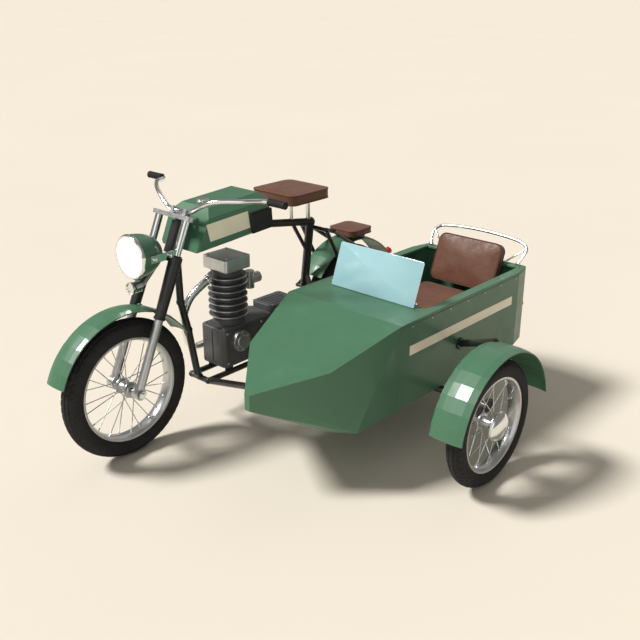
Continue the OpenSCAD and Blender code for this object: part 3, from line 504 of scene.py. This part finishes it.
def guard(name, node, body, x, y, z, edge_r, width, arc, facets, extra=()):
    """A folded sheet band with rolled edges, in flat facets."""
    h = width / 2
    outer = [(edge_r, -h), (edge_r + 6.6, -h * 0.6), (edge_r + 9, -h * 0.12), (edge_r + 9, h * 0.12),
             (edge_r + 6.6, h * 0.6), (edge_r, h)]
    inner = [(r - 3.8, w * 0.985) for r, w in reversed(outer)]
    section = outer + inner
    shape = Shape()
    verts, faces = [], []
    n = len(section)
    for i in range(facets + 1):
        a = math.radians(arc[0] + (arc[1] - arc[0]) * i / facets)
        for r, w in section:
            verts.append(P(x + r * math.cos(a), y + w, z + r * math.sin(a)))
    for i in range(facets):
        for k in range(n):
            k2 = (k + 1) % n
            faces.append((i * n + k, i * n + k2, (i + 1) * n + k2, (i + 1) * n + k))
    faces += [tuple(range(n)), tuple(facets * n + k for k in reversed(range(n)))]
    shape.add(verts, faces)
    put(name, shape, body, [green], (node,), flat=True)
    beads = Shape()
    for side in (-1, 1):
        path = [P(x + (edge_r - 2) * math.cos(t), y + side * (h - 2.4), z + (edge_r - 2) * math.sin(t))
                for t in [math.radians(arc[0] + (arc[1] - arc[0]) * i / 60) for i in range(61)]]
        beads.add(*tube(path, 2.6, 10))
    for verts_faces in extra:
        beads.add(*verts_faces)
    put(name + "_edges", beads, body, [green])


bosses = []
for s in (-1, 1):
    bosses.append(lathe([(0, 0), (9, 0), (9, 17), (6, 18.5), (0, 18.5)], on_fork(0, s * 52, 368), (0, s, 0), 24))
guard("front_guard", "front_mudguard", "fork", 0, 0, 324, 368, 124, (20, 150), 14, bosses)
guard("rear_guard", "rear_mudguard", "chassis", -1510, 0, 324, 368, 146, (37, 155), 13)

arm_foot = P(-868, 1253, 322.3)
stays = []
for a_deg, dx in ((38, 10), (142, -10)):
    a = math.radians(a_deg)
    tip = P(-868 + 336 * math.cos(a), 1275, 284 + 336 * math.sin(a) - 2)
    start = arm_foot + Vector((dx * MM, 0, 0))
    stays.append(tube([start, start.lerp(tip, 0.5), tip], 7.6, 16))
stays.append(tube([arm_foot - Vector((0.024, 0, 0)), arm_foot, arm_foot + Vector((0.024, 0, 0))], 8, 16))
guard("sidecar_guard", "sidecar_mudguard", "chassis", -868, 1345, 284, 336, 156, (9, 171), 16)
strut_a, strut_b = P(-1130, 1008.6, 470), P(-985, 1277, 284 + 336 * math.sin(math.radians(110)))
along = (strut_b - strut_a).normalized()
arms = Shape()
for s in stays:
    arms.add(*s)
arms.add(*tube([strut_a + along * 0.014, strut_a.lerp(strut_b, 0.5), strut_b], 16.6, 24))
arms.add(*lathe([(0, 0), (28, 0), (28, 5.5), (26, 7.6), (0, 8)], strut_a, (0, 1, 0), 40))
for k in range(4):
    a = math.radians(45 + 90 * k)
    bolt = hexagon(strut_a + Vector((22 * math.cos(a), 7.2, 22 * math.sin(a))) * MM, (0, 1, 0), 3.2, 3.4)
    arms.add(bolt.verts, bolt.faces)
put("sidecar_guard_stays", arms, "chassis", [black])

# ---------- CAD nodes with rounded edges ----------
for node, body, mat, slot, bevel in (
        ("front_axle", "fork", steel, "steel", 1.2), ("fork_sliders", "fork", alloy, "fork_alloy", 1.0),
        ("fork_covers", "fork", black, "black_paint", 1.6), ("fork_tubes", "fork", chrome, "chrome", 0.6),
        ("steering_stem", "fork", black, "black_paint", 2.0), ("top_yoke", "fork", alloy, "fork_alloy", 2.0),
        ("headlamp_ears", "fork", chrome, "chrome", 1.0), ("horn", "fork", chrome, "chrome", 0.8),
        ("frame", "chassis", black, "black_paint", 0), ("rear_stays", "chassis", black, "black_paint", 0),
        ("rear_axle", "chassis", steel, "steel", 1.2), ("crankcase", "chassis", engine, "engine_case", 9),
        ("gearbox", "chassis", engine, "engine_case", 5), ("cylinder_head", "chassis", alloy, "head_alloy", 6),
        ("timing_cover", "chassis", steel, "head_alloy", 3), ("carburettor", "chassis", alloy, "head_alloy", 0.8),
        ("chain_case", "chassis", green, "green_paint", 3), ("fuel_tank", "chassis", green, "green_paint", 9),
        ("fuel_cap", "chassis", chrome, "chrome", 1.6), ("cream_panels", "chassis", cream, "cream_paint", 0.8),
        ("knee_pads", "chassis", rubber, "rubber", 6), ("saddle_posts", "chassis", chrome, "steel", 1.0),
        ("pillion_bracket", "chassis", black, "black_paint", 2), ("tail_lamps", "chassis", red, "red_lamp", 3),
        ("sidecar_chassis", "chassis", black, "black_paint", 0), ("sidecar_axle", "chassis", steel, "steel", 1.0),
        ("body_floor", "chassis", green, "green_paint", 1.0), ("body_nose", "chassis", green, "green_paint", 2.2),
        ("body_sides", "chassis", green, "green_paint", 2.0), ("body_rear", "chassis", green, "green_paint", 2.0),
        ("body_deck", "chassis", green, "green_paint", 3.0), ("seat_base", "chassis", box_paint, "seat_box", 3),
        ("screen_bar", "chassis", chrome, "chrome", 1.5), ("grab_rail", "chassis", chrome, "chrome", 0),
        ("handlebar", "fork", chrome, "chrome", 0)):
    refine(node, body, mat, bevel, segments=4 if bevel > 5 else 3)

# ---------- lamps ----------
nose = P(-88, 0, 914)
bowl = [(96.6, 0.2)] + [(97 * math.cos(t) ** 0.86, 2 + 141 * math.sin(t)) for t in
                        [math.radians(4.5 * k) for k in range(20)]] + [(0, 143)]
put("headlamp_bowl", Shape().add(*lathe([(0, 0.2)] + bowl, nose, (-1, 0, 0), 80)), "fork", [green],
    ("headlamp_shell",))
ring = [(83.4, -1), (84, -11.5), (86, -15), (90, -15.8), (95, -15.2), (98.6, -11.5), (100.6, -7), (100.4, -1.2),
        (97, -0.4)]
rim = Shape().add(*lathe(ring, nose, (-1, 0, 0), 96, loop=True))
screw = hexagon(nose + Vector((0.008, 0, 0.0985)), (0, 0, 1), 2.2, 1.4)
rim.add(screw.verts, screw.faces)
put("headlamp_bezel", rim, "fork", [chrome], ("headlamp_rim",))
dome = [(82.6 * math.cos(t), -10 - 16.8 * math.sin(t)) for t in [math.radians(9 * k) for k in range(11)]]
put("headlamp_glass", Shape().add(*lathe([(0, -0.5), (82.6, -0.5)] + dome, nose, (-1, 0, 0), 96)), "fork", [lens],
    ("headlamp_lens",))
lamp_bolts = Shape()
for s in (-1, 1):
    for x in (-136, -215):
        b = hexagon(P(x, s * 112.2, 914), (0, s, 0), 7, 5)
        lamp_bolts.add(b.verts, b.faces)
    b = hexagon(P(0, s * 120, 324), (0, s, 0), 13, 9)
    lamp_bolts.add(b.verts, b.faces)
    for u in (-1, 1):
        b = hexagon(on_fork(-35 + u * 10.5, s * 42, 836), LEG, 4.2, 4)
        lamp_bolts.add(b.verts, b.faces)
b = hexagon(on_fork(-35, 0, 806), LEG, 14, 10)
lamp_bolts.add(b.verts, b.faces)
put("fork_bolts", lamp_bolts, "fork", [chrome])
collars = Shape()
for s in (-1, 1):
    collars.add(*lathe([(19, 0), (25.5, 0), (26.5, 2), (26.5, 9), (25, 11), (19, 11)], on_fork(0, s * 92, 340), LEG, 40,
                       loop=True))
    collars.add(*lathe([(18.6, 0), (24, 0), (25, 1.4), (25, 5), (23, 6.4), (18.6, 6.4)], on_fork(0, s * 92, 623.4), LEG,
                       40, loop=True))
put("fork_seals", collars, "fork", [rubber])

# ---------- grips ----------
grips = Shape()
for s in (-1, 1):
    ribs = [(11.2, 0), (17, 0.4), (17, 3)]
    for k in range(15):
        ribs += [(15.2, 5 + k * 5.4), (16.4, 6.2 + k * 5.4), (16.4, 8.6 + k * 5.4), (15.2, 9.6 + k * 5.4)]
    ribs += [(15.2, 92), (16.9, 94), (16.9, 97), (13, 99.6), (0, 99.8)]
    grips.add(*lathe(ribs, P(-560, s * 367, 1128), (0, s, 0), 40))
put("handlebar_grips", grips, "fork", [rubber], ("grips",))

# ---------- engine ----------
barrel = [(0, 461), (78, 461), (78, 476), (74, 482), (74, 503)]
first, pitch = 503, (738 - 503 - 9) / 7
for k in range(7):
    z0 = first + k * pitch
    barrel += [(72, z0), (93.6, z0 + 1.2), (95.6, z0 + 2.6), (95.8, z0 + 6.2), (93.6, z0 + 7.8), (72, z0 + 9)]
barrel += [(72, 730), (80, 732), (80, 737.8), (0, 737.8)]
cyl = Shape()
verts, faces = lathe(barrel, P(-625, 0, 0), (0, 0, 1), 88)
cyl.add(verts, faces)
# Faces on the fins' outer rims take material 1, the lighter painted highlight.
for i, (r, z) in enumerate(barrel[:-1]):
    if r > 93 and barrel[i + 1][0] > 93:
        cyl.mats[i * 88:(i + 1) * 88] = [1] * 88
put("finned_barrel", cyl, "chassis", [engine, fin_edge_highlight], ("cylinder_barrel",))

bolts = Shape()


def bolt(at, normal, r=4.5, h=4.5):
    b_shape = hexagon(at, normal, r, h)
    bolts.add(b_shape.verts, b_shape.faces)


for sx in (-1, 1):
    for sy in (-1, 1):
        bolt(P(-625 + sx * 60, sy * 66, 801.8), (0, 0, 1), 6, 5.5)
        bolt(P(-947 + sx * 78, sy * 58, 488.9), (0, 0, 1), 5, 4)
        bolt(P(-681 + sx * 150, sy * 64, 460.8), (0, 0, 1), 5, 4)
for k in range(6):
    a = math.radians(30 + 60 * k)
    bolt(P(-606 + 42 * math.cos(a), 116, 390 + 42 * math.sin(a)), (0, 1, 0), 4, 3)
for x, z in ((-535, 284), (-535, 440), (-700, 284), (-826, 284), (-826, 440), (-760, 440)):
    bolt(P(x, 86, z), (0, 1, 0), 5, 4.5)
    bolt(P(x, -86, z), (0, -1, 0), 5, 4.5)
for x, z in ((-870, 305), (-870, 470), (-1026, 305), (-1026, 470)):
    bolt(P(x, 75, z), (0, 1, 0), 4.5, 4)
bolt(P(-1510, 121, 324), (0, 1, 0), 13, 9)
bolt(P(-1510, -121, 324), (0, -1, 0), 13, 9)
for k in range(7):
    bolt(P(-1090 - k * 62, -69, 374 + k * 5.2), (0, -1, 0), 3.4, 2.8)
    bolt(P(-1090 - k * 62, -69, 270 - k * 3.2), (0, -1, 0), 3.4, 2.8)
for s in (-1, 1):
    for x in (-760, -900, -1040, -1180, -1320, -1460, -1600):
        bolt(P(x, 685 + s * 323, 664), (0, s, 0), 2.6, 1.6)
for y in (455, 570, 685, 800, 915):
    bolt(P(-1736, y, 664), (-1, 0, 0), 2.6, 1.6)
put("engine_and_body_bolts", bolts, "chassis", [steel])

# A rib up the front of the crankcase, and four on the gearbox's lid
line = Shape()
line.add(*tube([P(-511.6, 0, 278), P(-511.6, 0, 360), P(-511.6, 0, 450)], 4, 12))
for dy in (-36, -12, 12, 36):
    line.add(*tube([P(-878, dy, 489.4), P(-947, dy, 489.4), P(-1016, dy, 489.4)], 2.6, 10))
put("casting_ribs", line, "chassis", [engine])

# ---------- exhaust ----------
pipe = [P(-528.7, -18, 692), P(-500, -26, 680), P(-430, -42, 626), P(-392, -48, 560), P(-386, -50, 500),
        P(-408, -62, 430), P(-444, -96, 372), P(-500, -124, 326), P(-590, -140, 314), P(-700, -142, 314)]
ex = Shape().add(*tube(smooth_path(pipe, 10), 18.8, 28))
ex.add(*lathe([(19, 0), (30, 0), (31, 2), (31, 9), (29, 11), (19, 12)], pipe[0], pipe[1] - pipe[0], 40, loop=True))
ex.add(*lathe([(18.9, 0), (22.5, 0), (23, 1.5), (23, 16), (22.5, 18), (18.9, 18)], pipe[-1] + Vector((0.02, 0, 0)),
              (-1, 0, 0), 40, loop=True))
put("exhaust_header", ex, "chassis", [chrome], ("exhaust_pipe",))
mouth = P(-701.2, -142, 314)
tilt = math.radians(92)
back = Vector((-math.sin(tilt), 0, math.cos(tilt)))
body_profile = [(0, 0), (20, 0), (21, 2)]
body_profile += [(20 + 20 * math.sin(t) ** 1.2, 2 + 58 * t / (math.pi / 2)) for t in
                 [math.radians(9 * k) for k in range(1, 11)]]
body_profile += [(40, 66), (39.2, 67), (39.2, 71), (40, 72), (40, 548), (39.2, 549), (39.2, 553), (40, 554)]
body_profile += [(40 - 18 * (1 - math.cos(t)), 560 + 60 * math.sin(t)) for t in [math.radians(9 * k) for k in range(11)]]
body_profile += [(22, 697), (21.4, 699.6), (18, 699.8), (17.1, 698), (17.1, 566), (0, 566)]
put("silencer_body", Shape().add(*lathe(body_profile, mouth, back, 56)), "chassis", [chrome], ("silencer",))

# ---------- foot pegs ----------
pegs = Shape()
pegs.add(*tube([P(-905, -215, 248.3), P(-905, 0, 248.3), P(-905, 215, 248.3)], 8.9, 20))
for s in (-1, 1):
    profile = [(9, 0), (15.6, 0.4), (16, 2)]
    for k in range(12):
        profile += [(14.2, 6 + k * 7.2), (15.8, 7.4 + k * 7.2), (15.8, 10.4 + k * 7.2), (14.2, 11.6 + k * 7.2)]
    profile += [(14.2, 93), (16, 95), (16, 97), (12, 98), (0, 98)]
    pegs.add(*lathe(profile, P(-905, s * 120, 248.3), (0, s, 0), 32), 1)
put("foot_pegs", pegs, "chassis", [black, rubber], ("footrests",))

# ---------- windscreen ----------
lean = math.radians(20)
pane_up = Vector((-math.sin(lean), 0, math.cos(lean)))
pane_out = Vector((math.cos(lean), 0, math.sin(lean)))
foot = P(-880, 685, 690.4)
outline = []
for cy, cz, start in ((-1, 0, 180), (1, 0, 270), (1, 1, 0), (-1, 1, 90)):
    r = 4 if cz == 0 else 11
    for k in range(7):
        a = math.radians(start + 15 * k)
        outline.append((cy * (237 - r) + r * math.cos(a), (r if cz == 0 else 205 - r) + r * math.sin(a)))
pane = Shape()
n = len(outline)
layers = [(0.0, 1.0), (0.8, 0.0), (4.2, 0.0), (5.0, 1.0)]
verts = []
for depth, inset in layers:
    for y, z in outline:
        yy, zz = y * (1 - inset / 237), 102.5 + (z - 102.5) * (1 - inset / 102.5)
        verts.append(foot + pane_out * depth * MM + Vector((0, yy * MM, 0)) + pane_up * zz * MM)
faces = [tuple(reversed(range(n))), tuple(3 * n + k for k in range(n))]
pane.add(verts, faces)
# The pane's rim faces take material 1, a lighter glass colour that paints the edge highlight.
rims = [(i * n + k, i * n + (k + 1) % n, (i + 1) * n + (k + 1) % n, (i + 1) * n + k)
        for i in range(3) for k in range(n)]
pane.faces += rims
pane.mats += [1] * len(rims)
# Painted highlight: the rim of the pane is coloured brighter than the glass to show light caught along its edges.
pane_edge_highlight = surface("painted_glass_edge_highlight", (0.62, 0.80, 0.84), 0.12, coat=0.5, vary=0.05, patch=20, grain=200)
put("windscreen_pane", pane, "chassis", [glass, pane_edge_highlight], ("windscreen",))

# ---------- cushions ----------


def rounded_outline(x, y, r, steps=8):
    out = []
    for sx, sy, start in ((1, 1, 0), (-1, 1, 90), (-1, -1, 180), (1, -1, 270)):
        for k in range(steps + 1):
            a = math.radians(start + 90 * k / steps)
            out.append((sx * (x / 2 - r) + r * math.cos(a), sy * (y / 2 - r) + r * math.sin(a)))
    return out


def cushion(name, node, place, x, y, t, corner, voxel, pressure, cap, edge=9.0):
    """A sewn pad of x by y by t mm: its seams and its underside stay, and the panels between them swell."""
    small = 3.0
    rings = [(edge, 0.0), (edge * 0.3, edge * 0.3), (0.0, edge), (0.0, t - edge), (edge * 0.3, t - edge * 0.3),
             (edge, t)]
    verts, faces = [], []
    for inset, z in rings:
        ring_points = rounded_outline(x - 2 * small - 2 * inset, y - 2 * small - 2 * inset, max(corner - inset, 4))
        count = len(ring_points)
        verts += [Vector((px, py, z + (-1.5 if z > t / 2 else 0.0))) * MM for px, py in ring_points]
    for i in range(len(rings) - 1):
        for k in range(count):
            k2 = (k + 1) % count
            faces.append((i * count + k, i * count + k2, (i + 1) * count + k2, (i + 1) * count + k))
    faces += [tuple(reversed(range(count))), tuple((len(rings) - 1) * count + k for k in range(count))]
    mesh = bpy.data.meshes.new(name)
    mesh.from_pydata(verts, [], faces)
    obj = bpy.data.objects.new(name, mesh)
    bpy.context.scene.collection.objects.link(obj)
    remesh = obj.modifiers.new("remesh", "REMESH")
    remesh.mode, remesh.voxel_size = "VOXEL", voxel * MM
    remesh.use_smooth_shade = True
    settle(obj)
    rest = [v.co.copy() for v in obj.data.vertices]
    seam_z = (t - edge * 0.75, edge * 0.75)
    group = obj.vertex_groups.new(name="held")
    for i, c in enumerate(rest):
        side = max(abs(c.x) / MM - x / 2 + small, abs(c.y) / MM - y / 2 + small) > -edge * 0.8
        near = min(abs(c.z / MM - s) for s in seam_z)
        if c.z / MM < 2.5 or (side and near < 3.0):
            group.add([i], 1.0, "REPLACE")
    cloth = obj.modifiers.new("cloth", "CLOTH")
    cloth.settings.quality = 6
    cloth.settings.mass = 0.3
    cloth.settings.tension_stiffness = cloth.settings.compression_stiffness = 12
    cloth.settings.shear_stiffness = 6
    cloth.settings.bending_stiffness = 0.6
    cloth.settings.use_pressure = True
    cloth.settings.uniform_pressure_force = pressure
    cloth.settings.vertex_group_mass = "held"
    cloth.settings.effector_weights.gravity = 0
    cloth.point_cache.frame_start, cloth.point_cache.frame_end = 1, 20
    for f in range(1, 21):
        bpy.context.scene.frame_set(f)
    settle(obj)
    bpy.context.scene.frame_set(1)
    moved = [v.co.copy() for v in obj.data.vertices]
    for i, v in enumerate(obj.data.vertices):
        d = (moved[i] - rest[i]) if len(moved) == len(rest) else Vector()
        if d.length > cap * MM:
            d = d.normalized() * cap * MM
        soft = noise.noise(rest[i] * 16) * 0.6 * MM
        crease = Vector((0, 0, soft)) if rest[i].z > t * 0.6 * MM else Vector()
        v.co = rest[i] + d + crease
        v.co.z = max(v.co.z, 0.4 * MM)
    obj.data.transform(place)
    obj.modifiers.new("smooth", "SUBSURF").levels = 1
    settle(obj)
    obj.data.materials.clear()
    obj.data.materials.append(leather)
    obj.data.shade_smooth()
    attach(obj, "chassis")
    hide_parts(node)
    piping = Shape()
    for z in seam_z:
        loop = rounded_outline(x - 2 * small, y - 2 * small, corner, 10)
        ring_verts, ring_faces = [], []
        total = len(loop)
        for k, (px, py) in enumerate(loop):
            qx, qy = loop[(k + 1) % total]
            ox, oy = loop[k - 1]
            tangent = Vector((qx - ox, qy - oy, 0)).normalized()
            normal = Vector((tangent.y, -tangent.x, 0))
            for s in range(10):
                a = math.tau * s / 10
                p = Vector((px, py, z)) + normal * 2.3 * math.cos(a) + Vector((0, 0, 2.3 * math.sin(a)))
                ring_verts.append(place @ (p * MM))
        for k in range(total):
            for s in range(10):
                k2, s2 = (k + 1) % total, (s + 1) % 10
                ring_faces.append((k * 10 + s, k * 10 + s2, k2 * 10 + s2, k2 * 10 + s))
        piping.add(ring_verts, ring_faces)
    put(name + "_piping", piping, "chassis", [seam])
    return obj


def settle(obj):
    """Replaces obj's mesh by what its modifiers make of it, and drops them."""
    bpy.context.view_layer.update()
    made = bpy.data.meshes.new_from_object(obj.evaluated_get(bpy.context.evaluated_depsgraph_get()))
    obj.modifiers.clear()
    obj.data = made


saddle_lo, saddle_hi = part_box("saddle")
cushion("saddle_leather", "saddle", Matrix.Translation(((saddle_lo.x + saddle_hi.x) / 2, AXLE.y, saddle_lo.z)),
        285, 300, 58, 40, 5, 3.0, 14)
pill_lo, pill_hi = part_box("pillion_pad")
cushion("pillion_leather", "pillion_pad", Matrix.Translation(((pill_lo.x + pill_hi.x) / 2, AXLE.y, pill_lo.z)),
        180, 190, 40, 34, 4.5, 3.0, 12)
seat_lo, seat_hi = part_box("seat_cushion")
cushion("seat_leather", "seat_cushion",
        Matrix.Translation(((seat_lo.x + seat_hi.x) / 2, (seat_lo.y + seat_hi.y) / 2, seat_lo.z)),
        440, 400, 118, 40, 6.5, 3.4, 20, edge=14)
recline = Matrix.Rotation(math.radians(-22), 4, "Y")
standing = (Matrix.Translation(P(-1592, 685, 556)) @ recline @ Matrix.Translation((-46 * MM, 0, 125 * MM))
            @ Matrix.Rotation(math.radians(90), 4, "Y"))
cushion("seat_back_leather", "seat_back", standing, 250, 380, 46, 40, 5.5, 3.2, 15)

# ---------- final view layer update ---
bpy.context.view_layer.update()
